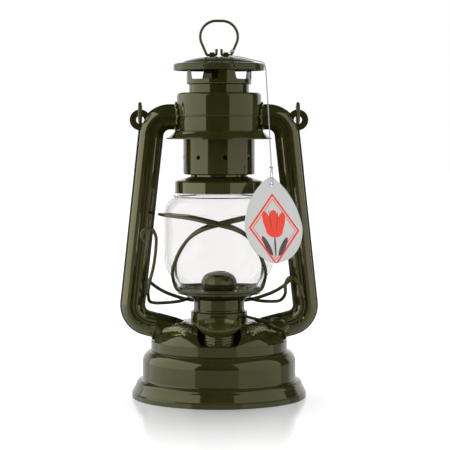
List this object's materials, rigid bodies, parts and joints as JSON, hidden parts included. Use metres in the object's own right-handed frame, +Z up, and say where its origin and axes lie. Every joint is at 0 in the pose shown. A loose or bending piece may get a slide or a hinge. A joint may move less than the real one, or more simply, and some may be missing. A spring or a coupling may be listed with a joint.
{
  "type": "oil lamp",
  "caption": "Wick oil lamp with a round fuel tank, glass globe in a wire guard, two side air tubes, a lifting chimney, a wire bail and a lift ring.",
  "frame": {"origin": "on the floor, at the tank's axis", "axes": "+Z up through the tank, globe and chimney; -Y towards the filler cap; the side tubes lie along X"},
  "size_m": [0.149, 0.131, 0.2824],
  "materials": {
    "olive_paint": "gloss",
    "wire_paint": "gloss",
    "burner_metal": "satin",
    "clear_glass": "clear gloss",
    "wick_cotton": "matt",
    "spring_steel": "satin",
    "gasket_rubber": "matt",
    "tag_card": "satin",
    "tag_cord": "matt"
  },
  "bodies": {
    "lamp_frame": {"tank_shell": "olive_paint", "tank_bottom": "olive_paint", "tank_lid": "olive_paint", "tank_top": "olive_paint", "filler_neck": "olive_paint", "burner_socket": "burner_metal", "burner_body": "burner_metal", "burner_saucer": "burner_metal", "burner_cone": "burner_metal", "wick_tube": "burner_metal", "chamber_drum": "olive_paint", "chamber_neck": "olive_paint", "tube_left_front": "olive_paint", "tube_left_back": "olive_paint", "tube_right_front": "olive_paint", "tube_right_back": "olive_paint", "hood_body": "olive_paint", "hood_cover": "olive_paint", "chimney_spring": "spring_steel"},
    "globe_carrier": {"globe_plate": "olive_paint", "guard_wire_left": "wire_paint", "guard_wire_right": "wire_paint", "globe": "clear_glass"},
    "lift_lever": {"lift_wire": "wire_paint"},
    "chimney": {"globe_collar": "olive_paint", "chimney_tube": "olive_paint", "vent_ring": "olive_paint", "chimney_cap": "olive_paint", "ring_saddles": "olive_paint", "hang_tag": "tag_card", "tag_string": "tag_cord", "string_knot": "tag_cord", "tag_loop": "tag_cord"},
    "ring_handle": {"lift_ring": "wire_paint"},
    "bail_handle": {"bail": "wire_paint"},
    "wick_drive": {"ratchet_wheels": "burner_metal", "wick_shaft": "olive_paint", "wick_knob": "olive_paint"},
    "wick_band": {"wick": "wick_cotton"},
    "cap_seal": {"cap_gasket": "gasket_rubber"},
    "screw_cap": {"filler_cap": "olive_paint"}
  },
  "joints": [
    {"name": "globe_lift", "type": "slide", "parent": "lamp_frame", "child": "globe_carrier", "axis": [0, 0, 1], "range_m": [0, 0.0085]},
    {"name": "lift_wire_swing", "type": "hinge", "parent": "lamp_frame", "child": "lift_lever", "pos_m": [0.063, 0, 0.075], "axis": [0, 1, 0], "range_deg": [0, 6]},
    {"name": "chimney_lift", "type": "slide", "parent": "globe_carrier", "child": "chimney", "axis": [0, 0, 1], "range_m": [0, 0.012], "deforming": ["chimney_spring"]},
    {"name": "ring_tip", "type": "hinge", "parent": "chimney", "child": "ring_handle", "pos_m": [0, 0, 0.256], "axis": [1, 0, 0], "range_deg": [-60, 60]},
    {"name": "bail_swing", "type": "hinge", "parent": "lamp_frame", "child": "bail_handle", "pos_m": [0, 0, 0.21305], "axis": [1, 0, 0], "range_deg": [0, 255]},
    {"name": "knob_turn", "type": "hinge", "parent": "lamp_frame", "child": "wick_drive", "pos_m": [-0.00151, -0.00413, 0.066], "axis": [0.9208, -0.3352, -0.1994], "range_deg": [-60, 130]},
    {"name": "wick_raise", "type": "slide", "parent": "lamp_frame", "child": "wick_band", "axis": [0, 0, 1], "range_m": [-0.004, 0.008]},
    {"name": "cap_rise", "type": "slide", "parent": "lamp_frame", "child": "cap_seal", "axis": [0, -0.1564, 0.9877], "range_m": [0, 0.0038]},
    {"name": "cap_turn", "type": "hinge", "parent": "cap_seal", "child": "screw_cap", "pos_m": [0, -0.0385, 0.0433], "axis": [0, -0.1564, 0.9877], "range_deg": [0, 720]}
  ],
  "couplings": [
    {"joint": "lift_wire_swing", "follows": "globe_lift", "rad_per_m": 11.43},
    {"joint": "wick_raise", "follows": "knob_turn", "m_per_rad": 0.0032}
  ]
}
